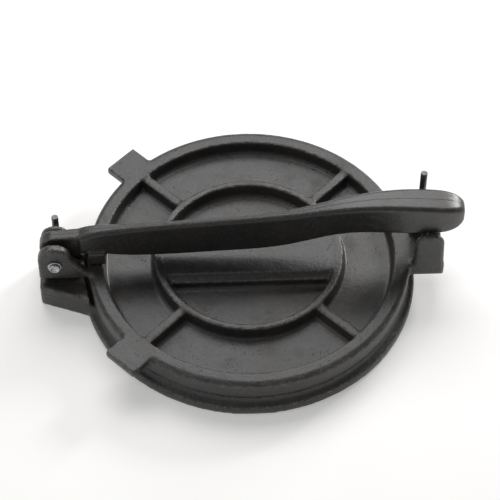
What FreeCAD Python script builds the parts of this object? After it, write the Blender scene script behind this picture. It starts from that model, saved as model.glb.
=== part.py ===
import FreeCAD, Part
import os

import Sketcher

# A round cast iron tortilla press, closed, with its lever lying across the top plate.
# Lengths are in millimetres. +X runs along the lever towards its grip, +Y to the back and +Z up.
# The origin is the middle of the base's underside, on the surface that the press stands on.

doc = FreeCAD.newDocument("tortilla_press")
sheet = doc.addObject("Spreadsheet::Sheet", "dims")

SIZES = {
    # base
    "base_step": 4,
    "flange_rise": 7.5,
    "platen_step": 0.5,
    "platen_rise": 12,
    "platen_wall": 6,
    "skirt_wall": 8,
    "base_hub_radius": 30,
    "base_rib_width": 8,
    "rib_count": 4,
    "edge_round": 1.2,
    # top plate
    "plate_gap": 0.3,
    "plate_radius": 104,
    "rim_rise": 14,
    "rim_width": 10,
    "bead_width": 3,
    "bead_drop": 1.6,
    "web_wall": 5,
    "ring_radius": 61,
    "ring_wall": 4.5,
    "rib_width": 6,
    "rib_drop": 0.8,
    "land_half_width": 20.5,
    "land_drop": 3.2,
    "panel_half_width": 16,
    "panel_drop": 0.6,
    "tab_reach": 14,
    "tab_width": 24,
    "tab_wall": 6,
    # hinge bracket on the base
    "hinge_beyond": 20,
    "hinge_above": 9.7,
    "lug_below": 8.3,
    "lug_beyond": 11,
    "lug_end_half": 17,
    "lug_root_half": 33,
    "lug_root_overlap": 12,
    "lug_clearance": 2,
    "ear_wall": 3.7,
    "ear_radius": 9,
    "side_clearance": 0.3,
    # hinge arms of the top plate, outside the ears, and the lever's knuckle between the ears
    "arm_step": 1,
    "arm_foot_drop": 13.4,
    "front_arm_wall": 6,
    "front_arm_radius": 10.6,
    "rear_arm_wall": 3.4,
    "rear_arm_radius": 9.5,
    "crown_lift": 4.7,
    "knuckle_half": 4,
    "knuckle_radius": 9.8,
    # pins
    "pin_radius": 2.2,
    "bore_clearance": 0.05,
    "pin_bend": 4,
    "hinge_tail": 11.5,
    "rest_tail": 29,
    "washer_radius": 4.6,
    "washer_wall": 1,
    "cap_radius": 3.6,
    "cap_wall": 2,
    "cap_end_wall": 0.8,
    # rest bracket of the top plate, under the grip
    "rest_beyond": 11,
    "rest_pin_back": 3,
    "rest_crown": 5.5,
    "rest_ear_wall": 4.4,
    "rest_blind_wall": 1.6,
    "rest_ear_top_half": 9,
    "rest_ear_foot_half": 10.5,
    "rest_lug_wall": 10,
    "rest_side_clearance": 0.7,
    "rest_clearance": 0.3,
    # lever
    "lever_round": 1.8,
    "nose_width": 11,
    "nose_half": 7,
    "nose_clearance": 0.4,
    # lever stations: underside and top above the plate's top, and half the width
    "root_under": 8.2,
    "root_top": 25.7,
    "root_half": 5.2,
    "neck_under": 6.6,
    "neck_top": 29.7,
    "neck_half": 4.4,
    "rise_under": 3.4,
    "rise_top": 31.5,
    "rise_half": 3.5,
    "waist_under": 4.9,
    "waist_top": 35,
    "waist_half": 3.1,
    "swell_under": 10.4,
    "swell_top": 39.8,
    "swell_half": 3.8,
    "heel_under": 23.4,
    "heel_top": 47.8,
    "heel_half": 6.4,
    "grip_under": 25.7,
    "grip_top": 51.2,
    "grip_half": 8.6,
    "palm_under": 25.3,
    "palm_top": 49.8,
    "palm_half": 9.5,
    "end_under": 27.4,
    "end_top": 46.6,
    "end_half": 7.8,
    "tip_under": 32.2,
    "tip_top": 43,
    "tip_half": 4.4,
}

# Stations along the lever, from its knuckle to the end of the grip.
LEVER_STATIONS = ("root", "neck", "rise", "waist", "swell", "heel", "grip", "palm", "end", "tip")

# Each station's share of the way from the hinge pin to the rest pin.
LEVER_SHARES = {
    "root_share": 0.067,
    "neck_share": 0.142,
    "rise_share": 0.243,
    "waist_share": 0.435,
    "swell_share": 0.623,
    "heel_share": 0.77,
    "grip_share": 0.895,
    "palm_share": 1,
    "end_share": 1.067,
    "tip_share": 1.09,
}

# The one function that expressions call, so that it isn't taken for a size.
ROOT_FUNCTION = "sqrt"


def fill_sheet():
    """Writes each driving size to its own cell, as plain text with a word for its alias."""
    for row, (alias, size) in enumerate({**SIZES, **LEVER_SHARES}.items(), 1):
        sheet.set(f"A{row}", alias)
        sheet.set(f"B{row}", str(size))
        sheet.setAlias(f"B{row}", alias)
    doc.recompute()


def dim(text):
    """The text of an expression whose words are names of sizes on the sheet."""
    out = []
    word = ""
    for letter in text + " ":
        if letter.isalnum() or letter in "_.":
            word += letter
            continue
        if word:
            out.append(f"dims.{word}" if word[0].isalpha() and word != ROOT_FUNCTION else word)
        out.append(letter)
        word = ""
    return "".join(out).strip()


def value(text):
    """The number that an expression in sheet names gives now."""
    return float(sheet.evalExpression(dim(text)))


def new_body(label):
    body = doc.addObject("PartDesign::Body", label)
    body.Label = label
    return body


def plane_of(body, role):
    return next(f for f in body.Origin.OriginFeatures if f.Role == role)


def new_sketch(body, name, role, offset="0"):
    """A sketch on one of the body's own planes, moved along that plane's normal."""
    sketch = body.newObject("Sketcher::SketchObject", name)
    sketch.AttachmentSupport = [(plane_of(body, role), "")]
    sketch.MapMode = "FlatFace"
    if offset != "0":
        sketch.setExpression("AttachmentOffset.Base.z", dim(offset))
    return sketch


def pin_point(sketch, item, end, across, up):
    """Ties a point of a sketch to two expressions, or to an axis where an expression is zero."""
    for kind, text, axis in (("DistanceX", across, -2), ("DistanceY", up, -1)):
        if text == "0":
            sketch.addConstraint(Sketcher.Constraint("PointOnObject", item, end, axis))
            continue
        index = sketch.addConstraint(Sketcher.Constraint(kind, -1, 1, item, end, value(text)))
        sketch.setExpression(f"Constraints[{index}]", dim(text))


def outline(sketch, points):
    """A closed outline of straight lines through points given as pairs of expressions."""
    spots = [FreeCAD.Vector(value(a), value(b), 0) for a, b in points]
    first = sketch.GeometryCount
    for here, there in zip(spots, spots[1:] + spots[:1]):
        sketch.addGeometry(Part.LineSegment(here, there), False)
    count = len(spots)
    for i in range(count):
        after = first + (i + 1) % count
        sketch.addConstraint(Sketcher.Constraint("Coincident", first + i, 2, after, 1))
    for i, (across, up) in enumerate(points):
        pin_point(sketch, first + i, 1, across, up)


def ring(sketch, across, up, radius):
    """A circle whose centre and radius are expressions."""
    centre = FreeCAD.Vector(value(across), value(up), 0)
    item = sketch.addGeometry(Part.Circle(centre, FreeCAD.Vector(0, 0, 1), value(radius)), False)
    pin_point(sketch, item, 3, across, up)
    index = sketch.addConstraint(Sketcher.Constraint("Radius", item, value(radius)))
    sketch.setExpression(f"Constraints[{index}]", dim(radius))


def feature(body, kind, name, sketch, length=None, reverse=False, both=False):
    item = body.newObject(f"PartDesign::{kind}", name)
    item.Profile = sketch
    if length:
        item.setExpression("Length", dim(length))
    item.Reversed = reverse
    if both:
        item.Midplane = True
    doc.recompute()
    return item


def pad(body, name, sketch, length, reverse=False, both=False):
    return feature(body, "Pad", name, sketch, length, reverse, both)


def pocket(body, name, sketch, length, reverse=False, both=False):
    """A cut that has to take something away."""
    before = body.Shape.Volume
    item = feature(body, "Pocket", name, sketch, length, reverse, both)
    if body.Shape.Volume >= before:
        raise ValueError(f"{name} cuts nothing")
    return item


def turned(body, name, sketch):
    """A full turn of a profile about the body's upright axis."""
    item = body.newObject("PartDesign::Revolution", name)
    item.Profile = sketch
    item.ReferenceAxis = (sketch, ["V_Axis"])
    item.Angle = 360
    doc.recompute()
    return item


def repeated(body, name, item):
    """Copies of a feature spread evenly round the body's upright axis."""
    pattern = body.newObject("PartDesign::PolarPattern", name)
    pattern.Originals = [item]
    pattern.Axis = (plane_of(body, "Z_Axis"), [""])
    pattern.Angle = 360
    pattern.setExpression("Occurrences", dim("rib_count"))
    body.Tip = pattern
    doc.recompute()
    return pattern


fill_sheet()

BASE_RADIUS = "(plate_radius + base_step)"
PLATEN_RADIUS = "(plate_radius - platen_step)"
UNDER_WEB = "(platen_rise - platen_wall)"
PLATE_FOOT = "(platen_rise + plate_gap)"
PLATE_TOP = "(platen_rise + plate_gap + rim_rise)"
WEB_TOP = "(platen_rise + plate_gap + web_wall)"
HINGE_ALONG = "(plate_radius + hinge_beyond)"
HINGE_UP = f"({PLATE_TOP} + hinge_above)"
LUG_TOP = f"({PLATE_TOP} - lug_below)"
REST_ALONG = "(plate_radius + rest_beyond)"
REST_PIN_ALONG = "(plate_radius + rest_beyond - rest_pin_back)"
REST_UP = f"({PLATE_TOP} + palm_under - rest_clearance - pin_radius)"
EAR_INNER = "(knuckle_half + side_clearance)"
ARM_INNER = "(knuckle_half + ear_wall + 2 * side_clearance)"
ARM_FOOT = f"({HINGE_UP} - arm_foot_drop)"
REST_INNER = "(palm_half + rest_side_clearance)"
REST_OUTER = "(palm_half + rest_side_clearance + rest_ear_wall)"
BORE = "(pin_radius + bore_clearance)"
DIAGONAL = "sqrt(0.5)"


def diagonal_bar(sketch, start, end, half, side="1"):
    """A bar's outline along the diagonal, towards +Y, on the +X side or with side -1 on the other."""
    corners = []
    left = f"-({half})"
    right = f"({half})"
    for reach, across in ((start, left), (start, right), (end, right), (end, left)):
        x = f"{side} * {DIAGONAL} * (({reach}) - {across})"
        y = f"{DIAGONAL} * (({reach}) + {across})"
        corners.append((x, y))
    outline(sketch, corners)


def mirrored(body, name, items):
    """The same features on the other side of the middle plane that runs along the lever."""
    pattern = body.newObject("PartDesign::Mirrored", name)
    pattern.Originals = items
    pattern.MirrorPlane = (plane_of(body, "XZ_Plane"), [""])
    body.Tip = pattern
    doc.recompute()
    return pattern


def cross_bore(body, name, along, up):
    """A bore from front to back through everything on its line."""
    hole = new_sketch(body, name + "_circle", "XZ_Plane")
    ring(hole, along, up, BORE)
    return pocket(body, name, hole, f"4 * {BASE_RADIUS}", both=True)


def make_base():
    """Round base with its platen, hollow underside, and hinge lug with two ears beside the knuckle."""
    body = new_body("base_plate")
    round_profile = new_sketch(body, "base_profile", "XZ_Plane")
    outline(round_profile, [
        ("0", "0"),
        ("base_hub_radius", "0"),
        ("base_hub_radius", UNDER_WEB),
        (f"{BASE_RADIUS} - skirt_wall", UNDER_WEB),
        (f"{BASE_RADIUS} - skirt_wall", "0"),
        (BASE_RADIUS, "0"),
        (BASE_RADIUS, "flange_rise - edge_round"),
        (f"{BASE_RADIUS} - edge_round", "flange_rise"),
        (PLATEN_RADIUS, "flange_rise"),
        (PLATEN_RADIUS, "platen_rise"),
        ("0", "platen_rise"),
    ])
    turned(body, "base_disc", round_profile)
    rib = new_sketch(body, "base_rib_outline", "XY_Plane")
    rib_end = f"{BASE_RADIUS} - skirt_wall / 2"
    diagonal_bar(rib, "base_hub_radius - edge_round", rib_end, "base_rib_width / 2")
    one_rib = pad(body, "base_rib", rib, "platen_rise - platen_wall / 2")
    repeated(body, "base_ribs", one_rib)
    lug = new_sketch(body, "hinge_lug_outline", "XY_Plane")
    outline(lug, [
        ("-(plate_radius - lug_root_overlap)", "-lug_root_half"),
        (f"-({HINGE_ALONG} + lug_beyond)", "-lug_end_half"),
        (f"-({HINGE_ALONG} + lug_beyond)", "lug_end_half"),
        ("-(plate_radius - lug_root_overlap)", "lug_root_half"),
    ])
    pad(body, "hinge_lug", lug, LUG_TOP)
    room = new_sketch(body, "plate_room_circle", "XY_Plane", "platen_rise")
    ring(room, "0", "0", "plate_radius + lug_clearance")
    pocket(body, "plate_room", room, LUG_TOP, reverse=True)
    ear = new_sketch(body, "hinge_ear_outline", "XZ_Plane", EAR_INNER)
    outline(ear, [
        (f"-({HINGE_ALONG} + ear_radius)", "platen_rise"),
        ("-(plate_radius + lug_clearance + edge_round)", "platen_rise"),
        ("-(plate_radius + lug_clearance + edge_round)", LUG_TOP),
        (f"-({HINGE_ALONG} - ear_radius)", HINGE_UP),
        (f"-({HINGE_ALONG} + ear_radius)", HINGE_UP),
    ])
    ear_block = pad(body, "hinge_ear", ear, "ear_wall")
    crown = new_sketch(body, "hinge_ear_circle", "XZ_Plane", EAR_INNER)
    ring(crown, f"-{HINGE_ALONG}", HINGE_UP, "ear_radius")
    ear_crown = pad(body, "hinge_ear_crown", crown, "ear_wall")
    mirrored(body, "rear_hinge_ear", [ear_block, ear_crown])
    cross_bore(body, "hinge_bore", f"-{HINGE_ALONG}", HINGE_UP)
    return body


def hinge_arm(body, name, depth, lift):
    """An arm of the top plate, from its rim to an eye on the hinge pin, with its crown lifted."""
    radius = name + "_radius"
    crown_up = f"{HINGE_UP} + {lift}"
    arm = new_sketch(body, name + "_outline", "XZ_Plane", depth)
    outline(arm, [
        (f"-({HINGE_ALONG} + {radius})", ARM_FOOT),
        ("-(plate_radius - rim_width / 2)", ARM_FOOT),
        ("-(plate_radius - rim_width / 2)", f"{PLATE_TOP} + arm_step"),
        ("-plate_radius", f"{PLATE_TOP} + arm_step"),
        (f"-({HINGE_ALONG} - {radius})", crown_up),
        (f"-({HINGE_ALONG} + {radius})", crown_up),
    ])
    pad(body, name, arm, name + "_wall")
    crown = new_sketch(body, name + "_circle", "XZ_Plane", depth)
    ring(crown, f"-{HINGE_ALONG}", crown_up, radius)
    pad(body, name + "_crown", crown, name + "_wall")


def make_top_plate():
    """Round top plate with rim, ribs, centre ring and land, lifting tabs, hinge arms and rest bracket."""
    body = new_body("top_plate")
    round_profile = new_sketch(body, "plate_profile", "XZ_Plane")
    outline(round_profile, [
        ("0", PLATE_FOOT),
        ("plate_radius - edge_round", PLATE_FOOT),
        ("plate_radius", f"{PLATE_FOOT} + edge_round"),
        ("plate_radius", f"{PLATE_TOP} - bead_drop"),
        ("plate_radius - bead_width", PLATE_TOP),
        ("plate_radius - rim_width", PLATE_TOP),
        ("plate_radius - rim_width - edge_round", WEB_TOP),
        ("ring_radius + edge_round", WEB_TOP),
        ("ring_radius", PLATE_TOP),
        ("ring_radius - ring_wall", PLATE_TOP),
        ("ring_radius - ring_wall - edge_round", WEB_TOP),
        ("0", WEB_TOP),
    ])
    turned(body, "plate_disc", round_profile)
    rib = new_sketch(body, "plate_rib_outline", "XY_Plane", PLATE_FOOT)
    diagonal_bar(rib, "ring_radius - ring_wall / 2", "plate_radius - rim_width / 2", "rib_width / 2")
    one_rib = pad(body, "plate_rib", rib, "rim_rise - rib_drop")
    repeated(body, "plate_ribs", one_rib)
    land = new_sketch(body, "land_outline", "XY_Plane", PLATE_FOOT)
    outline(land, [
        ("-(ring_radius - ring_wall)", "-land_half_width"),
        ("ring_radius - ring_wall", "-land_half_width"),
        ("ring_radius - ring_wall", "land_half_width"),
        ("-(ring_radius - ring_wall)", "land_half_width"),
    ])
    pad(body, "land", land, "rim_rise - land_drop")
    panel = new_sketch(body, "land_panel_outline", "XY_Plane", PLATE_FOOT)
    outline(panel, [
        ("-(ring_radius - ring_wall)", "-panel_half_width"),
        ("ring_radius - ring_wall", "-panel_half_width"),
        ("ring_radius - ring_wall", "panel_half_width"),
        ("-(ring_radius - ring_wall)", "panel_half_width"),
    ])
    pad(body, "land_panel", panel, "rim_rise - panel_drop")
    tab = new_sketch(body, "tab_outline", "XY_Plane", PLATE_TOP)
    diagonal_bar(tab, "plate_radius - rim_width / 2", "plate_radius + tab_reach", "tab_width / 2", "-1")
    one_tab = pad(body, "lifting_tab", tab, "tab_wall", reverse=True)
    mirrored(body, "front_lifting_tab", [one_tab])
    hinge_arm(body, "front_arm", ARM_INNER, "crown_lift")
    hinge_arm(body, "rear_arm", f"-({ARM_INNER} + rear_arm_wall)", "0")
    cross_bore(body, "arm_bore", f"-{HINGE_ALONG}", HINGE_UP)
    lug = new_sketch(body, "rest_lug_outline", "XY_Plane", PLATE_TOP)
    outline(lug, [
        ("plate_radius - rim_width", f"-{REST_OUTER}"),
        (f"{REST_ALONG} + rest_ear_foot_half", f"-{REST_OUTER}"),
        (f"{REST_ALONG} + rest_ear_foot_half", REST_OUTER),
        ("plate_radius - rim_width", REST_OUTER),
    ])
    pad(body, "rest_lug", lug, "rest_lug_wall", reverse=True)
    ear = new_sketch(body, "rest_ear_outline", "XZ_Plane", REST_INNER)
    outline(ear, [
        (f"{REST_ALONG} - rest_ear_foot_half", f"{PLATE_TOP} - rest_lug_wall"),
        (f"{REST_ALONG} + rest_ear_foot_half", f"{PLATE_TOP} - rest_lug_wall"),
        (f"{REST_ALONG} + rest_ear_top_half", REST_UP),
        (f"{REST_ALONG} + rest_ear_top_half / 2", f"{REST_UP} + rest_crown"),
        (f"{REST_ALONG} - rest_ear_top_half / 2", f"{REST_UP} + rest_crown"),
        (f"{REST_ALONG} - rest_ear_top_half", REST_UP),
    ])
    rest_ear = pad(body, "rest_ear", ear, "rest_ear_wall")
    mirrored(body, "rear_rest_ear", [rest_ear])
    blind_end = f"({REST_OUTER} - rest_blind_wall)"
    hole = new_sketch(body, "rest_bore_circle", "XZ_Plane", blind_end)
    ring(hole, REST_PIN_ALONG, REST_UP, BORE)
    pocket(body, "rest_bore", hole, f"2 * {REST_OUTER}")
    return body


def along_lever(name):
    """How far along X a station of the lever lies."""
    return f"({name}_share * ({HINGE_ALONG} + {REST_ALONG}) - {HINGE_ALONG})"


def lever_section(body, name):
    """The lever's section at one station: a rectangle with its corners taken off."""
    section = new_sketch(body, f"{name}_section", "YZ_Plane", along_lever(name))
    half = f"{name}_half"
    under = f"({PLATE_TOP} + {name}_under)"
    top = f"({PLATE_TOP} + {name}_top)"
    outline(section, [
        (f"-({half} - lever_round)", under),
        (f"{half} - lever_round", under),
        (half, f"{under} + lever_round"),
        (half, f"{top} - lever_round"),
        (f"{half} - lever_round", top),
        (f"-({half} - lever_round)", top),
        (f"-{half}", f"{top} - lever_round"),
        (f"-{half}", f"{under} + lever_round"),
    ])
    return section


def make_lever():
    """Lever from its knuckle on the hinge pin, along a deep slim beam, to a rounded grip."""
    body = new_body("lever")
    sections = [lever_section(body, name) for name in LEVER_STATIONS]
    beam = body.newObject("PartDesign::AdditiveLoft", "lever_beam")
    beam.Profile = sections[0]
    beam.Sections = sections[1:]
    doc.recompute()
    neck = new_sketch(body, "knuckle_neck_outline", "XZ_Plane")
    outline(neck, [
        (f"-{HINGE_ALONG}", f"{HINGE_UP} - knuckle_radius"),
        (along_lever("root"), f"{PLATE_TOP} + root_under"),
        (along_lever("root"), f"{PLATE_TOP} + root_top"),
        (f"-{HINGE_ALONG}", f"{HINGE_UP} + crown_lift + knuckle_radius"),
        (f"-({HINGE_ALONG} + knuckle_radius)", f"{HINGE_UP} + crown_lift"),
        (f"-({HINGE_ALONG} + knuckle_radius)", HINGE_UP),
    ])
    pad(body, "knuckle_neck", neck, "2 * knuckle_half", both=True)
    knuckle = new_sketch(body, "knuckle_circle", "XZ_Plane")
    ring(knuckle, f"-{HINGE_ALONG}", HINGE_UP, "knuckle_radius")
    pad(body, "knuckle", knuckle, "2 * knuckle_half", both=True)
    crown = new_sketch(body, "knuckle_crown_circle", "XZ_Plane")
    ring(crown, f"-{HINGE_ALONG}", f"{HINGE_UP} + crown_lift", "knuckle_radius")
    pad(body, "knuckle_crown", crown, "2 * knuckle_half", both=True)
    rim_middle = "plate_radius - (rim_width + bead_width) / 2"
    nose = new_sketch(body, "nose_outline", "XZ_Plane")
    outline(nose, [
        (f"-({rim_middle} + nose_width / 2)", f"{HINGE_UP} + edge_round"),
        (f"-({rim_middle} + nose_width / 2)", f"{PLATE_TOP} + nose_clearance"),
        (f"-({rim_middle} - nose_width / 2)", f"{PLATE_TOP} + nose_clearance"),
        (f"-({rim_middle} - nose_width / 2)", f"{HINGE_UP} + edge_round"),
    ])
    pad(body, "nose", nose, "2 * nose_half", both=True)
    cross_bore(body, "lever_bore", f"-{HINGE_ALONG}", HINGE_UP)
    return body


def place(item, along, across, up, axis, angle):
    """Turns a piece about one axis and moves it to three expressions."""
    item.Placement.Rotation = FreeCAD.Rotation(axis, angle)
    for letter, text in (("x", along), ("y", across), ("z", up)):
        item.setExpression(f"Placement.Base.{letter}", dim(text))


def rod(name, along, start, up, radius, length):
    """A cylinder from front to back, starting at a depth."""
    item = doc.addObject("Part::Cylinder", name)
    item.setExpression("Radius", dim(radius))
    item.setExpression("Height", dim(length))
    place(item, along, start, up, FreeCAD.Vector(1, 0, 0), -90)
    return item


def bent_pin(name, along, up, front, outer, tail):
    """A steel rod through both ears, from a depth in front, turned up behind the rear ear's outer face."""
    rear = f"({outer} + washer_wall + side_clearance)"
    shank = rod(name + "_shank", along, f"-{front}", up, "pin_radius", f"{front} + {rear}")
    bend = doc.addObject("Part::Torus", name + "_bend")
    bend.setExpression("Radius1", dim("pin_bend"))
    bend.setExpression("Radius2", dim("pin_radius"))
    bend.Angle3 = 90
    place(bend, along, rear, f"{up} + pin_bend", FreeCAD.Vector(0, 1, 0), 90)
    end = doc.addObject("Part::Cylinder", name + "_tail")
    end.setExpression("Radius", dim("pin_radius"))
    end.setExpression("Height", dim(f"{tail} - pin_bend"))
    place(end, along, f"{rear} + pin_bend", f"{up} + pin_bend", FreeCAD.Vector(0, 0, 1), 0)
    item = doc.addObject("Part::MultiFuse", name)
    item.Shapes = [shank, bend, end]
    return item


def washer(name, along, start, up):
    disc = rod(name + "_disc", along, start, up, "washer_radius", "washer_wall")
    hole = rod(name + "_hole", along, f"{start} - washer_wall", up, BORE, "3 * washer_wall")
    item = doc.addObject("Part::Cut", name)
    item.Base = disc
    item.Tool = hole
    return item


def washer_pair(name, along, up, front_outer, rear_outer):
    """A washer outside the front arm and one outside the rear arm."""
    front = washer(name + "_front", along, f"-({front_outer} + washer_wall)", up)
    rear = washer(name + "_rear", along, rear_outer, up)
    item = doc.addObject("Part::Compound", name)
    item.Links = [front, rear]
    return item


def end_cap(name, along, up, outer):
    """A cap pushed over the pin's front end."""
    start = f"-({outer} + washer_wall + cap_wall)"
    disc = rod(name + "_disc", along, start, up, "cap_radius", "cap_wall")
    hole = rod(name + "_hole", along, f"{start} + cap_end_wall", up, BORE, "cap_wall")
    item = doc.addObject("Part::Cut", name)
    item.Base = disc
    item.Tool = hole
    return item


def hinge_fittings():
    """The hinge pin through arms, ears and knuckle, with a washer at both ends and a cap in front."""
    along = f"-{HINGE_ALONG}"
    front_outer = f"({ARM_INNER} + front_arm_wall)"
    rear_outer = f"({ARM_INNER} + rear_arm_wall)"
    front = f"({front_outer} + washer_wall + cap_wall - cap_end_wall)"
    return [
        bent_pin("hinge_pin", along, HINGE_UP, front, rear_outer, "hinge_tail"),
        washer_pair("hinge_pin_washers", along, HINGE_UP, front_outer, rear_outer),
        end_cap("hinge_pin_cap", along, HINGE_UP, front_outer),
    ]


def rest_fittings():
    """The rest pin, from a blind bore in the front ear, with a washer outside the rear one."""
    front = f"({REST_OUTER} - rest_blind_wall - side_clearance)"
    return [
        bent_pin("rest_pin", REST_PIN_ALONG, REST_UP, front, REST_OUTER, "rest_tail"),
        washer("rest_pin_washer", REST_PIN_ALONG, REST_OUTER, REST_UP),
    ]


pieces = [make_base(), make_top_plate(), make_lever()]
pieces += hinge_fittings()
pieces += rest_fittings()
doc.recompute()

for item in doc.Objects:
    if "Invalid" in item.State or "Error" in item.State:
        raise ValueError(f"{item.Label} failed: {item.State}")

os.makedirs("parts", exist_ok=True)
for piece in pieces:
    if piece.Shape.isNull() or not piece.Shape.isValid():
        raise ValueError(f"{piece.Label} has no sound shape")
    piece.Shape.exportStep(f"parts/{piece.Label}.step")
    print(piece.Label, len(piece.Shape.Solids), round(piece.Shape.Volume), piece.Shape.BoundBox)
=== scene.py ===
import math

import bmesh
import bpy
import numpy as np
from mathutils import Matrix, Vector


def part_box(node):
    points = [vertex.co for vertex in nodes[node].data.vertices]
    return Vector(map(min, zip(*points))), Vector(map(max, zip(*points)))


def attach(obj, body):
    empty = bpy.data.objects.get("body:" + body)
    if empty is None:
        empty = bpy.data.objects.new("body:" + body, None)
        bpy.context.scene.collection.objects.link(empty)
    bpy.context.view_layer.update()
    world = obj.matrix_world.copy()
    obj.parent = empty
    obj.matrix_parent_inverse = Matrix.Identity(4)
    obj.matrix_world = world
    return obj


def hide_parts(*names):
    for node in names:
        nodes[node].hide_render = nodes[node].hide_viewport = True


# A cast iron tortilla press in its looks: three oil-seasoned castings on two turned-up steel pins.
# Lengths are in metres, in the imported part's own frame. +X runs along the lever towards its grip.

MM = 0.001
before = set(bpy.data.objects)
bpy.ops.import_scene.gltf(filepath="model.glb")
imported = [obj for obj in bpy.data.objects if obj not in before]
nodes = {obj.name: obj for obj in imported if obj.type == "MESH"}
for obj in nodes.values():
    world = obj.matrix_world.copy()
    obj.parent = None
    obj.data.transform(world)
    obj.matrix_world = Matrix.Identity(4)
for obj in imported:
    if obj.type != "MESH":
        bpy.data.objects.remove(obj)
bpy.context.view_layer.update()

# Heights and reaches that the castings and their finishes share.
PLATEN_TOP = 12.0 * MM
PLATE_FOOT = 12.3 * MM
PLATE_TOP = 26.3 * MM
PLATE_RADIUS = 104 * MM
RIM_WIDTH = 10 * MM
RING_RADIUS = 61 * MM
RING_WALL = 4.5 * MM

# The handled part of the lever begins between these two places along it.
GRIP_FROM = 38 * MM
GRIP_TO = 66 * MM


# Shader maths

class Field:
    """A value that changes over a surface. Sums and products of fields add Math nodes."""

    def __init__(self, finish, socket):
        self.finish = finish
        self.socket = socket

    def maths(self, operation, *others):
        values = [other.socket if isinstance(other, Field) else other for other in others]
        return self.finish.node("ShaderNodeMath", {"operation": operation}, *values).field("Value")

    def __add__(self, other):
        return self.maths("ADD", self, other)

    def __radd__(self, other):
        return self.maths("ADD", other, self)

    def __sub__(self, other):
        return self.maths("SUBTRACT", self, other)

    def __rsub__(self, other):
        return self.maths("SUBTRACT", other, self)

    def __mul__(self, other):
        return self.maths("MULTIPLY", self, other)

    def __truediv__(self, other):
        return self.maths("DIVIDE", self, other)

    def __abs__(self):
        return self.maths("ABSOLUTE", self)

    def least(self, other):
        return self.maths("MINIMUM", self, other)

    def most(self, other):
        return self.maths("MAXIMUM", self, other)

    def root(self):
        return self.maths("SQRT", self)

    def sine(self):
        return self.maths("SINE", self)

    def step(self, start, end):
        """0 at start and 1 at end, with a smooth run between."""
        settings = {"interpolation_type": "SMOOTHSTEP"}
        made = self.finish.node("ShaderNodeMapRange", settings, self.socket, start, end, 0.0, 1.0)
        return made.field("Result")


class Made:
    """A node that was just added."""

    def __init__(self, finish, node):
        self.finish = finish
        self.node = node

    def field(self, name):
        return Field(self.finish, self.node.outputs[name])

    def out(self, name):
        return self.node.outputs[name]


class Finish:
    """A material: its tree, one method that adds a node, and the surface that it ends in."""

    def __init__(self, name):
        self.material = bpy.data.materials.new(name)
        self.material.use_nodes = True
        self.tree = self.material.node_tree
        self.tree.nodes.clear()
        coordinates = self.node("ShaderNodeTexCoord")
        self.place = coordinates.out("Object")
        parts = self.node("ShaderNodeSeparateXYZ", {}, self.place)
        self.x, self.y, self.z = (parts.field(letter) for letter in "XYZ")
        self.facing_up = self.node("ShaderNodeSeparateXYZ", {}, coordinates.out("Normal")).field("Z")

    def node(self, kind, settings=None, *values, **named):
        made = self.tree.nodes.new(kind)
        for word, setting in (settings or {}).items():
            if word == "stops":
                while len(made.color_ramp.elements) < len(setting):
                    made.color_ramp.elements.new(0.5)
                for element, (where, colour) in zip(made.color_ramp.elements, setting):
                    element.position = where
                    element.color = (*colour, 1.0)
            else:
                setattr(made, word, setting)
        pairs = list(zip([s for s in made.inputs if s.enabled], values))
        pairs += [(made.inputs[word.replace("_", " ")], value) for word, value in named.items()]
        for socket, value in pairs:
            value = value.socket if isinstance(value, Field) else value
            if isinstance(value, bpy.types.NodeSocket):
                self.tree.links.new(value, socket)
            elif value is not None:
                socket.default_value = value
        return Made(self, made)

    def stretched(self, scale):
        return self.node("ShaderNodeMapping", {}, Vector=self.place, Scale=scale).out("Vector")

    def noise(self, scale, detail=2.0, roughness=0.5, where=None):
        """Cloudy noise about 0.5. The scale is in patches to the metre."""
        return self.node("ShaderNodeTexNoise", {"noise_dimensions": "3D"}, Vector=where or self.place,
                         Scale=scale, Detail=detail, Roughness=roughness).field("Fac")

    def cells(self, scale):
        """Distance from the middle of the nearest of scattered cells."""
        made = self.node("ShaderNodeTexVoronoi", {"feature": "F1"}, Vector=self.place, Scale=scale)
        return made.field("Distance")

    def mixed(self, share, first, second):
        """A colour between two, which are colours or sockets."""
        first, second = (c if isinstance(c, bpy.types.NodeSocket) else (*c, 1.0) for c in (first, second))
        mix = self.node("ShaderNodeMix", {"data_type": "RGBA", "clamp_factor": True})
        for index, value in ((0, share), (6, first), (7, second)):
            value = value.socket if isinstance(value, Field) else value
            socket = mix.node.inputs[index]
            if isinstance(value, bpy.types.NodeSocket):
                self.tree.links.new(value, socket)
            else:
                socket.default_value = value
        return mix.node.outputs[2]

    def kept(self, name):
        """A value that a mesh carries at its points."""
        return self.node("ShaderNodeAttribute", {"attribute_name": name}).field("Fac")

    def surface(self, colour, roughness, height, depth, metallic=0.0, coat=0.0, coat_roughness=0.3, **more):
        """Joins the shader. Height is a field in shares of the depth, which is in metres."""
        bump = self.node("ShaderNodeBump", {}, Strength=1.0, Distance=depth, Height=height).out("Normal")
        shader = self.node("ShaderNodeBsdfPrincipled", {}, Base_Color=colour, Roughness=roughness,
                           Metallic=metallic, Normal=bump, Coat_Weight=coat,
                           Coat_Roughness=coat_roughness, **more)
        self.node("ShaderNodeOutputMaterial", {}, Surface=shader.out("BSDF"))
        return self.material


# Finishes

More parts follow.
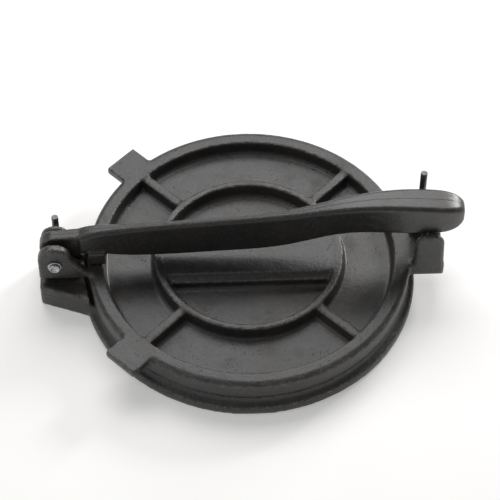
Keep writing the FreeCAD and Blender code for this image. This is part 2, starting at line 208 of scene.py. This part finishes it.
OIL_BLACK = (0.016, 0.0155, 0.015)
OIL_BROWN = (0.040, 0.030, 0.022)
ASH = (0.055, 0.054, 0.052)
BARE_IRON = (0.15, 0.143, 0.135)
PIT_BLACK = (0.006, 0.0055, 0.005)
ROD_DARK = (0.10, 0.10, 0.104)
ROD_LIGHT = (0.22, 0.22, 0.225)
ROD_STAIN = (0.055, 0.046, 0.040)
ROD_SPECK = (0.040, 0.031, 0.026)
ZINC_PALE = (0.55, 0.56, 0.58)
ZINC_DULL = (0.34, 0.345, 0.35)
ZINC_GRIME = (0.09, 0.08, 0.07)
PAPER_SHADE = (0.80, 0.79, 0.775)
PAPER_LIGHT = (0.83, 0.82, 0.805)
NO_GLOW = (0.0, 0.0, 0.0)
PAPER_GLOW = (0.26, 0.26, 0.26)

# Patches to the metre, from the castings' broad stains down to the sand's own grain.
STAINS = 24
TOOL_DRIFT = 30
DUST = 52
SEAM_BENDS = 60
SWELLS = 70
PITTED_PARTS = 130
UNEVEN_WEAR = 210
HAND_WEAR = 240
SKIN = 300
PITS = 380
PEBBLES = 720
SAND = 2100

# Patches to the metre along X, Y and Z, which stretch them into lines.
ROD_LINES = (3200, 260, 420)
ZINC_SCRATCHES = (2600, 2600, 190)

# Depths of the reliefs, and the widths of the fine marks on the castings.
CAST_DEPTH = 0.8 * MM
ROD_DEPTH = 0.04 * MM
PLATING_DEPTH = 0.03 * MM
PAPER_DEPTH = 0.02 * MM
SEAM_HALF = 0.42 * MM
SEAM_WANDER = 0.6 * MM
TURNED_BAND = 0.35 * MM
GROOVE_PITCH = 0.85 * MM


def seasoned_iron(name, turned_face=None, grip=False):
    """Sand-cast iron baked black with oil: pebbled skin, browner patches, edges rubbed to grey metal."""
    f = Finish(name)
    skin = f.noise(SKIN, 3, 0.6)
    pebble = f.noise(PEBBLES, 3, 0.55)
    sand = f.noise(SAND, 2, 0.5)
    swell = f.noise(SWELLS, 2, 0.5)
    patches = f.noise(STAINS, 4, 0.6)
    pits = (1 - f.cells(PITS).step(0.06, 0.30)) * f.noise(PITTED_PARTS, 1, 0.5).step(0.56, 0.64)
    edge = f.kept("edge_wear")
    uneven = f.noise(UNEVEN_WEAR, 4, 0.7).step(0.30, 0.70)
    rub = (edge * (0.62 + uneven * 0.45) + (pebble - 0.5) * 0.9).step(0.48, 1.10) * 0.8
    browned = patches.step(0.46, 0.72)
    dust = f.noise(DUST, 3, 0.6).step(0.50, 0.78) * f.facing_up.step(0.2, 0.9)
    colour = f.mixed(browned * 0.65, OIL_BLACK, OIL_BROWN)
    colour = f.mixed(dust * 0.50, colour, ASH)
    grain = (pebble * 0.6 + skin * 0.4).step(0.47, 0.64)
    colour = f.mixed(grain * 0.42, colour, ASH)
    colour = f.mixed(pits * 0.7, colour, PIT_BLACK)
    rough = 0.34 + skin * 0.14 + pebble * 0.10 + browned * 0.09 + dust * 0.12 - rub * 0.10
    relief = skin * 0.60 + pebble * 0.56 + sand * 0.18
    height = relief + swell * 0.9 - pits * 0.6
    coat = 0.36 - dust * 0.2
    if grip:
        handled = f.x.step(GRIP_FROM, GRIP_TO)
        seam = 1 - (abs(f.y + (f.noise(SEAM_BENDS, 1) - 0.5) * SEAM_WANDER) / SEAM_HALF).least(1.0)
        seam = seam * seam * (1 - handled * 0.55)
        height = relief * (1 - handled * 0.66) + swell * 0.6 - pits * 0.4 * (1 - handled) + seam * 0.4
        rough = rough - handled * 0.09
        rub = (rub + handled * f.noise(HAND_WEAR, 3, 0.6).step(0.54, 0.80) * 0.22).least(1.0)
    if turned_face is not None:
        radius = (f.x * f.x + f.y * f.y).root()
        on_face = (1 - (abs(f.z - turned_face) / TURNED_BAND).least(1.0)).step(0.05, 0.6)
        drift = (f.noise(TOOL_DRIFT) - 0.5) * 1.5
        grooves = (radius * (2 * math.pi / GROOVE_PITCH) + drift).sine() * 0.5 + 0.5
        height = height * (1 - on_face * 0.94) + grooves * on_face * 0.05
        rough = rough + on_face * (0.10 + patches * 0.10)
        rub = (rub + on_face * 0.10 * grooves).least(1.0)
        coat = coat - on_face * 0.2
    colour = f.mixed(rub, colour, BARE_IRON)
    coat = (coat - rub * 0.25).most(0.0)
    return f.surface(colour, rough, height, CAST_DEPTH, metallic=rub * 0.85, coat=coat, coat_roughness=0.26)


def drawn_steel(name):
    """Plain drawn rod, oiled: fine lines along it, with darker stains and specks."""
    f = Finish(name)
    lines = f.noise(1.0, 3, 0.6, f.stretched(ROD_LINES))
    blotch = f.noise(160, 3, 0.6)
    specks = f.noise(900, 2, 0.6).step(0.62, 0.74)
    colour = f.mixed(lines.step(0.35, 0.7), ROD_DARK, ROD_LIGHT)
    colour = f.mixed(blotch.step(0.5, 0.75) * 0.55, colour, ROD_STAIN)
    colour = f.mixed(specks * 0.5, colour, ROD_SPECK)
    rough = 0.36 + lines * 0.16 + blotch.step(0.5, 0.75) * 0.16
    return f.surface(colour, rough, lines + specks * 0.8, ROD_DEPTH, metallic=1.0, coat=0.05)


def plated_steel(name, shade=1.0):
    """Zinc-plated pressings: pale, faintly blue, with dull clouds and small scratches."""
    f = Finish(name)
    clouds = f.noise(330, 3, 0.6)
    scratches = f.noise(1.0, 2, 0.6, f.stretched(ZINC_SCRATCHES)).step(0.60, 0.68)
    grime = f.noise(240, 3, 0.65).step(0.52, 0.74)
    pale = tuple(c * shade for c in ZINC_PALE)
    dull = tuple(c * shade for c in ZINC_DULL)
    colour = f.mixed(clouds.step(0.35, 0.7), pale, dull)
    colour = f.mixed(grime * 0.6, colour, ZINC_GRIME)
    rough = 0.26 + clouds * 0.18 + grime * 0.25 - scratches * 0.06
    return f.surface(colour, rough, clouds * 0.5 - scratches * 0.5, PLATING_DEPTH, metallic=1.0)


def pale_floor(name):
    """Plain matt paper, almost white, and a little lighter to the eye than to the press."""
    f = Finish(name)
    soft = f.noise(6, 2, 0.5)
    fibre = f.noise(900, 2, 0.5)
    colour = f.mixed(soft.step(0.3, 0.7), PAPER_SHADE, PAPER_LIGHT)
    path = f.node("ShaderNodeLightPath")
    seen = path.field("Is Camera Ray").most(path.field("Is Glossy Ray"))
    glow = f.mixed(seen, NO_GLOW, PAPER_GLOW)
    return f.surface(colour, 0.85 - soft * 0.05, fibre, PAPER_DEPTH,
                     Emission_Color=glow, Emission_Strength=1.0)


base_iron = seasoned_iron("base_seasoned_iron", turned_face=PLATEN_TOP)
plate_iron = seasoned_iron("plate_seasoned_iron", turned_face=PLATE_FOOT)
lever_iron = seasoned_iron("lever_seasoned_iron", grip=True)
pin_steel = drawn_steel("pin_drawn_steel")
washer_steel = plated_steel("washer_plated_steel", 0.9)
cap_steel = plated_steel("cap_plated_steel")

CAD_FINISH = {
    "base_plate": base_iron,
    "top_plate": plate_iron,
    "lever": lever_iron,
    "hinge_pin": pin_steel,
    "rest_pin": pin_steel,
    "hinge_pin_washers": washer_steel,
    "rest_pin_washer": washer_steel,
    "hinge_pin_cap": cap_steel,
}
for name, finish in CAD_FINISH.items():
    nodes[name].data.materials.clear()
    nodes[name].data.materials.append(finish)


# Meshes

def linked(name, mesh, material):
    """An object at the origin that shows a mesh."""
    mesh.name = name
    item = bpy.data.objects.new(name, mesh)
    bpy.context.scene.collection.objects.link(item)
    mesh.materials.clear()
    mesh.materials.append(material)
    return item


def mesh_of(name, points, faces):
    mesh = bpy.data.meshes.new(name)
    mesh.from_pydata([tuple(p) for p in points], [], [tuple(f) for f in faces])
    mesh.validate()
    return mesh


def evaluated(item):
    """The plain mesh that an object's modifiers make. The modifiers and the object go."""
    depsgraph = bpy.context.evaluated_depsgraph_get()
    mesh = bpy.data.meshes.new_from_object(item.evaluated_get(depsgraph))
    bpy.data.objects.remove(item)
    return mesh


def points_of(mesh):
    flat = np.zeros(len(mesh.vertices) * 3)
    mesh.vertices.foreach_get("co", flat)
    return flat.reshape(-1, 3)


def put_points(mesh, points):
    mesh.vertices.foreach_set("co", points.astype(np.float32).ravel())
    mesh.update()


def merged_copy(node):
    """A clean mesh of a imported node, with the doubled points of its loose triangles joined."""
    shell = bmesh.new()
    shell.from_mesh(nodes[node].data)
    bmesh.ops.remove_doubles(shell, verts=shell.verts, dist=1e-6)
    points = [v.co.copy() for v in shell.verts]
    faces = [[v.index for v in face.verts] for face in shell.faces]
    shell.free()
    return mesh_of(node + "_copy", points, faces)


def relaxed(points, edges, passes, share=0.5):
    """Moves each point towards the mean of its neighbours, several times over."""
    count = np.bincount(edges.ravel(), minlength=len(points)).astype(float)[:, None]
    for _ in range(passes):
        total = np.zeros_like(points)
        np.add.at(total, edges[:, 0], points[edges[:, 1]])
        np.add.at(total, edges[:, 1], points[edges[:, 0]])
        points = points + share * (total / np.maximum(count, 1) - points)
    return points


# Evening takes the steps out of a skin: one pass towards the mean, and one back that undoes the shrinking.
EVEN_OUT = 0.5
EVEN_BACK = -0.52

# Wear: the skin is held against a softer one, and counts as fully worn this share of a voxel above it.
WEAR_PASSES = 14
FULL_WEAR_SHARE = 0.38


def cast(name, sources, voxel, passes, evening, material):
    """A casting: solids melted into one skin with small radii, and how far each point stands proud."""
    points, faces = [], []
    for mesh in sources:
        shift = len(points)
        points += [v.co.copy() for v in mesh.vertices]
        faces += [[shift + v for v in face.vertices] for face in mesh.polygons]
    rough = linked(name + "_rough", mesh_of(name + "_rough", points, faces), material)
    skin = rough.modifiers.new("skin", "REMESH")
    skin.mode = "VOXEL"
    skin.voxel_size = voxel
    mesh = evaluated(rough)
    edges = np.zeros(len(mesh.edges) * 2, dtype=int)
    mesh.edges.foreach_get("vertices", edges)
    edges = edges.reshape(-1, 2)
    soft = relaxed(points_of(mesh), edges, passes)
    for _ in range(evening):
        soft = relaxed(relaxed(soft, edges, 1, EVEN_OUT), edges, 1, EVEN_BACK)
    softer = relaxed(soft, edges, WEAR_PASSES)
    put_points(mesh, soft)
    normals = np.zeros(len(mesh.vertices) * 3)
    mesh.vertices.foreach_get("normal", normals)
    proud = ((soft - softer) * normals.reshape(-1, 3)).sum(1) / (FULL_WEAR_SHARE * voxel)
    worn = mesh.attributes.new("edge_wear", "FLOAT", "POINT")
    worn.data.foreach_set("value", np.clip(proud, 0, 1).astype(np.float32))
    for face in mesh.polygons:
        face.use_smooth = True
    return linked(name, mesh, material)


CHAMFER_SHARE = 0.18


def ringed(name, points, sides, smooth_corners, material):
    """A skin over rings of points. Faces with fewer corners than smooth_corners stay flat."""
    faces = []
    for start in range(0, len(points) - sides, sides):
        for k in range(sides):
            a, b = start + k, start + (k + 1) % sides
            faces.append((a, b, b + sides, a + sides))
    mesh = mesh_of(name, points, faces)
    shell = bmesh.new()
    shell.from_mesh(mesh)
    bmesh.ops.remove_doubles(shell, verts=shell.verts, dist=1e-7)
    bmesh.ops.dissolve_degenerate(shell, edges=shell.edges, dist=1e-8)
    bmesh.ops.recalc_face_normals(shell, faces=shell.faces)
    shell.to_mesh(mesh)
    shell.free()
    for face in mesh.polygons:
        face.use_smooth = len(face.vertices) >= smooth_corners
    return linked(name, mesh, material)


def swept(name, path, radius, material, sides=28):
    """A round rod along points, with a small chamfer at both ends."""
    path = [Vector(p) for p in path]
    points = []
    side = Vector((1, 0, 0))
    chamfer = CHAMFER_SHARE * radius
    last = len(path) - 1
    rings = [(0, 0.0, 0.0), (0, 1 - CHAMFER_SHARE, 0.0), (0, 1.0, chamfer)]
    rings += [(i, 1.0, 0.0) for i in range(1, last)]
    rings += [(last, 1.0, -chamfer), (last, 1 - CHAMFER_SHARE, 0.0), (last, 0.0, 0.0)]
    for index, share, along in rings:
        before, after = path[max(index - 1, 0)], path[min(index + 1, last)]
        ahead = (after - before).normalized()
        up = ahead.cross(side).normalized()
        middle = path[index] + ahead * along
        for k in range(sides):
            turn = 2 * math.pi * k / sides
            points.append(middle + radius * share * (side * math.cos(turn) + up * math.sin(turn)))
    return ringed(name, points, sides, 4, material)


def lathed(name, profile, middle, material, sides=64):
    """A turned piece about a line from front to back. The profile is pairs of depth and radius."""
    points = []
    for depth, radius in profile:
        for k in range(sides):
            turn = 2 * math.pi * k / sides
            points.append(middle + Vector((radius * math.cos(turn), depth, radius * math.sin(turn))))
    return ringed(name, points, sides, 3, material)


# Geometry node trees for what repeats

class Plan:
    """A geometry tree with named inputs, which ends in Realize Instances and Set Material."""

    def __init__(self, name, **inputs):
        self.tree = bpy.data.node_groups.new(name, "GeometryNodeTree")
        self.tree.interface.new_socket("Geometry", in_out="OUTPUT", socket_type="NodeSocketGeometry")
        for word, kind in {**inputs, "Material": "Material"}.items():
            self.tree.interface.new_socket(word, in_out="INPUT", socket_type="NodeSocket" + kind)
        self.given = self.tree.nodes.new("NodeGroupInput").outputs
        self.target = self.tree.nodes.new("NodeGroupOutput").inputs["Geometry"]

    def join(self, socket, value):
        if isinstance(value, bpy.types.NodeSocket):
            self.tree.links.new(value, socket)
        else:
            socket.default_value = value

    def add(self, kind, settings=None, **sockets):
        """Adds a node and returns its outputs."""
        made = self.tree.nodes.new(kind)
        for word, setting in (settings or {}).items():
            setattr(made, word, setting)
        for word, value in sockets.items():
            self.join(next(s for s in made.inputs if s.name == word.replace("_", " ") and s.enabled), value)
        return made.outputs

    def maths(self, operation, first, second=0.0):
        made = self.tree.nodes.new("ShaderNodeMath")
        made.operation = operation
        self.join(made.inputs[0], first)
        self.join(made.inputs[1], second)
        return made.outputs[0]

    def vector(self, x=0.0, y=0.0, z=0.0):
        return self.add("ShaderNodeCombineXYZ", X=x, Y=y, Z=z)["Vector"]

    def end(self, geometry):
        real = self.add("GeometryNodeRealizeInstances", Geometry=geometry)["Geometry"]
        done = self.add("GeometryNodeSetMaterial", Geometry=real, Material=self.given["Material"])
        self.tree.links.new(done["Geometry"], self.target)
        return self

    def mesh(self, name, material, **values):
        """The plain mesh that the tree makes with these inputs."""
        carrier = linked(name, bpy.data.meshes.new(name), material)
        modifier = carrier.modifiers.new("made", "NODES")
        modifier.node_group = self.tree
        values["Material"] = material
        for item in self.tree.interface.items_tree:
            if item.item_type == "SOCKET" and item.in_out == "INPUT":
                modifier[item.identifier] = values[item.name]
        return evaluated(carrier)


def rib_plan():
    """Drafted ribs spread evenly round the upright axis, wider at the foot."""
    p = Plan("drafted_ribs", Start="Float", End="Float", Width="Float", Low="Float", High="Float",
             Draft="Float", Count="Int", Turn="Float")
    low, high, start, end = (p.given[word] for word in ("Low", "High", "Start", "End"))
    size = p.vector(p.maths("SUBTRACT", end, start), p.given["Width"], p.maths("SUBTRACT", high, low))
    block = p.add("GeometryNodeMeshCube", Size=size)["Mesh"]
    spot = p.add("ShaderNodeSeparateXYZ", Vector=p.add("GeometryNodeInputPosition")["Position"])
    foot = p.maths("MULTIPLY", p.maths("LESS_THAN", spot["Z"]), p.maths("SIGN", spot["Y"]))
    flare = p.vector(y=p.maths("MULTIPLY", foot, p.given["Draft"]))
    drafted = p.add("GeometryNodeSetPosition", Geometry=block, Offset=flare)["Geometry"]
    middle = p.maths("MULTIPLY", p.maths("ADD", start, end), 0.5)
    spots = p.add("GeometryNodeMeshCircle", Vertices=p.given["Count"], Radius=middle)["Mesh"]
    apart = p.maths("DIVIDE", 2 * math.pi, p.given["Count"])
    angle = p.maths("MULTIPLY", p.add("GeometryNodeInputIndex")["Index"], apart)
    ribs = p.add("GeometryNodeInstanceOnPoints", Points=spots, Instance=drafted, Rotation=p.vector(z=angle))
    height = p.maths("MULTIPLY", p.maths("ADD", low, high), 0.5)
    moved = p.add("GeometryNodeTransform", Geometry=ribs["Instances"], Translation=p.vector(z=height),
                  Rotation=p.vector(z=p.given["Turn"]))
    return p.end(moved["Geometry"])


def washer_plan():
    """Flat washers with eased edges, at even steps along one line from front to back."""
    p = Plan("washer_row", Radius="Float", Bore="Float", Wall="Float", Easing="Float", First="Vector",
             Step="Vector", Count="Int")
    radius, bore = p.given["Radius"], p.given["Bore"]
    middle = p.maths("MULTIPLY", p.maths("ADD", radius, bore), 0.5)
    circle = p.add("GeometryNodeCurvePrimitiveCircle", {"mode": "RADIUS"}, Resolution=64, Radius=middle)
    section = p.add("GeometryNodeCurvePrimitiveQuadrilateral", {"mode": "RECTANGLE"},
                    Width=p.maths("SUBTRACT", radius, bore), Height=p.given["Wall"])
    eased = p.add("GeometryNodeFilletCurve", Curve=section["Curve"], Radius=p.given["Easing"])
    ring = p.add("GeometryNodeCurveToMesh", Curve=circle["Curve"], Profile_Curve=eased["Curve"])
    upright = p.add("GeometryNodeTransform", Geometry=ring["Mesh"], Rotation=(math.pi / 2, 0, 0))
    line = p.add("GeometryNodeMeshLine", {"mode": "OFFSET"}, Count=p.given["Count"],
                 Start_Location=p.given["First"], Offset=p.given["Step"])
    row = p.add("GeometryNodeInstanceOnPoints", Points=line["Mesh"], Instance=upright["Geometry"])
    return p.end(row["Instances"])


RIBS = rib_plan()
WASHERS = washer_plan()


def dressed(item, node, body):
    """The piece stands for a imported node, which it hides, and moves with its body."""
    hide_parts(node)
    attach(item, body)
    return item


# Castings

# Drafted ribs that melt into the castings' own. They stay a little inside the castings' faces.
RIB_COUNT = 4
RIB_TURN = math.pi / 4

top_ribs = RIBS.mesh("top_rib_draft", plate_iron, Start=RING_RADIUS - RING_WALL / 2,
                     End=PLATE_RADIUS - RIM_WIDTH / 2, Width=6 * MM, Low=PLATE_FOOT + 1 * MM,
                     High=PLATE_TOP - 0.9 * MM, Draft=1.1 * MM, Count=RIB_COUNT, Turn=RIB_TURN)
under_ribs = RIBS.mesh("under_rib_draft", base_iron, Start=28 * MM, End=103 * MM, Width=8 * MM,
                       Low=0.05 * MM, High=9 * MM, Draft=0.0, Count=RIB_COUNT, Turn=RIB_TURN)

# Voxels, plain smoothing passes and evening passes of each casting.
base = cast("base_casting", [merged_copy("base_plate"), under_ribs], 1.05 * MM, 6, 10, base_iron)
dressed(base, "base_plate", "base")
top = cast("top_plate_casting", [merged_copy("top_plate"), top_ribs], 1.05 * MM, 3, 10, plate_iron)
dressed(top, "top_plate", "upper")
lever = cast("lever_casting", [merged_copy("lever")], 0.62 * MM, 7, 14, lever_iron)
dressed(lever, "lever", "handle")


# Pins, washers and caps

PIN_RADIUS = 2.2 * MM
PIN_BEND = 4 * MM
BEND_STEPS = 10
BORE_RADIUS = PIN_RADIUS + 0.05 * MM
WASHER_WALL = 1 * MM
WASHER_EASING = 0.22 * MM


def turned_up_pin(node, up, body):
    """The rod from front to back, turned up at the back."""
    low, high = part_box(node)
    along, rear = (low.x + high.x) / 2, high.y - PIN_RADIUS
    path = [(along, low.y, up), (along, (low.y + rear) / 2, up)]
    for k in range(BEND_STEPS + 1):
        turn = math.pi / 2 * k / BEND_STEPS
        path.append((along, rear - PIN_BEND * (1 - math.sin(turn)), up + PIN_BEND * (1 - math.cos(turn))))
    path += [(along, rear, (up + PIN_BEND + high.z) / 2), (along, rear, high.z)]
    dressed(swept(node + "_rod", path, PIN_RADIUS, pin_steel), node, body)


def washer_row(node, count, body):
    """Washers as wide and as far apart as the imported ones. Returns the line that they stand on."""
    low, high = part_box(node)
    along, up = (low.x + high.x) / 2, (low.z + high.z) / 2
    rings = WASHERS.mesh(node + "_rings", washer_steel, Radius=(high.x - low.x) / 2, Bore=BORE_RADIUS,
                         Wall=WASHER_WALL, Easing=WASHER_EASING, First=(along, low.y + WASHER_WALL / 2, up),
                         Step=(0.0, high.y - low.y - WASHER_WALL, 0.0), Count=count)
    dressed(linked(node + "_row", rings, washer_steel), node, body)
    return up


CAP_EASING = 0.25 * MM
CAP_BORE_END = 0.78 * MM

# The cap's front in millimetres: depth behind the front and distance in from the rim,
# and then depth and radius of its sunk middle.
CAP_ROLL = ((0.8, 0.0), (0.4, 0.14), (0.1, 0.5), (0.0, 0.85), (0.1, 1.2), (0.45, 1.5), (0.65, 1.65))
CAP_MIDDLE = ((0.7, 0.9), (0.5, 0.6), (0.4, 0.0))


def cap_cup(node, body):
    """The pressed cap over the pin's front end, with a rolled edge and a sunk middle."""
    low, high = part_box(node)
    outer, depth = (high.x - low.x) / 2, high.y - low.y
    profile = [(CAP_BORE_END, 0.0), (CAP_BORE_END, BORE_RADIUS), (depth, BORE_RADIUS)]
    profile += [(depth, outer - CAP_EASING), (depth - CAP_EASING, outer)]
    profile += [(back * MM, outer - inward * MM) for back, inward in CAP_ROLL]
    profile += [(back * MM, radius * MM) for back, radius in CAP_MIDDLE]
    spot = Vector(((low.x + high.x) / 2, low.y, (low.z + high.z) / 2))
    dressed(lathed(node + "_cup", profile, spot, cap_steel), node, body)


turned_up_pin("hinge_pin", washer_row("hinge_pin_washers", 2, "base"), "base")
turned_up_pin("rest_pin", washer_row("rest_pin_washer", 1, "upper"), "upper")
cap_cup("hinge_pin_cap", "base")


# Floor, light and camera

FLOOR_HALF = 6.0
FLOOR_CORNERS = ((-1, -1), (1, -1), (1, 1), (-1, 1))
CAMERA_TURN = math.radians(-2)
CAMERA_RISE = math.radians(52)
CAMERA_REACH = 1.35
CAMERA_LENS = 150
CAMERA_FAR = 100
WORLD_GREY = (0.93, 0.93, 0.93, 1)
WORLD_STRENGTH = 0.30


def panel(name, at, towards, across, along, power):
    """A soft rectangular light. Places and sizes are in metres and the power in watts."""
    lamp = bpy.data.lights.new(name, "AREA")
    lamp.shape = "RECTANGLE"
    lamp.size = across
    lamp.size_y = along
    lamp.energy = power
    item = bpy.data.objects.new(name, lamp)
    bpy.context.scene.collection.objects.link(item)
    item.location = at
    item.rotation_euler = (Vector(towards) - Vector(at)).to_track_quat("-Z", "Y").to_euler()
    return item


floor_points = [(x * FLOOR_HALF, y * FLOOR_HALF, 0) for x, y in FLOOR_CORNERS]
floor = linked("floor", mesh_of("floor", floor_points, [(0, 1, 2, 3)]), pale_floor("floor_paper"))

middle = Vector((0.001, 0.004, 0.024))
panel("rear_softbox", (-0.08, 0.92, 1.22), middle, 1.4, 0.9, 15)
panel("right_key", (0.75, 0.75, 0.52), middle, 0.22, 0.22, 7)
panel("left_softbox", (-1.1, -0.3, 0.9), middle, 0.7, 0.7, 2.5)

world = bpy.data.worlds.new("studio")
world.use_nodes = True
bpy.context.scene.world = world
background = world.node_tree.nodes["Background"]
background.inputs["Color"].default_value = WORLD_GREY
background.inputs["Strength"].default_value = WORLD_STRENGTH

level = math.cos(CAMERA_RISE)
back = Vector((math.sin(CAMERA_TURN) * level, -math.cos(CAMERA_TURN) * level, math.sin(CAMERA_RISE)))
camera_data = bpy.data.cameras.new("camera")
camera_data.lens = CAMERA_LENS
camera_data.clip_end = CAMERA_FAR
camera = bpy.data.objects.new("camera", camera_data)
bpy.context.scene.collection.objects.link(camera)
camera.location = middle + back * CAMERA_REACH
camera.rotation_euler = (-back).to_track_quat("-Z", "Y").to_euler()
bpy.context.scene.camera = camera
bpy.context.scene.view_settings.view_transform = "Standard"
